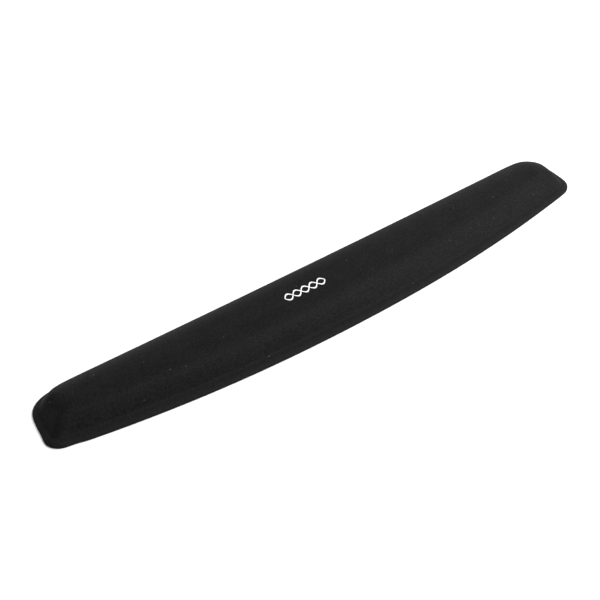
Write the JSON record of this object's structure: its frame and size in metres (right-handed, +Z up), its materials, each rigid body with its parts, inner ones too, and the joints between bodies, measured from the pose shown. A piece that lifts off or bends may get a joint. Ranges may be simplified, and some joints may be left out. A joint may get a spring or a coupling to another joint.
{
  "type": "wrist rest",
  "caption": "Long low keyboard wrist rest: a soft gel pad under a black stretch-knit cover, with a bowed front edge, rounded ends and a flat rim bonded to a thin non-slip base.",
  "frame": {"origin": "on the underside, at the centre of the outline's box", "axes": "+X along the rest's length, +Y to the straighter back edge beside the keyboard, +Z up from the underside to the pad"},
  "size_m": [0.4786, 0.0748, 0.0179],
  "materials": {
    "knit_fabric": "matt black fine jersey knit with a faint sheen at grazing angles",
    "film": "thin soft polyurethane film",
    "gel": "soft translucent gel",
    "base_rubber": "matt black non-slip polyurethane with a fine embossed texture underneath",
    "print_ink": "flat white transfer print"
  },
  "bodies": {
    "root": {"fabric_cover": "knit_fabric", "cover_film": "film", "gel_pad": "gel", "gel_seal_film": "film", "base_pad": "base_rubber", "printed_mark": "print_ink"}
  },
  "joints": []
}
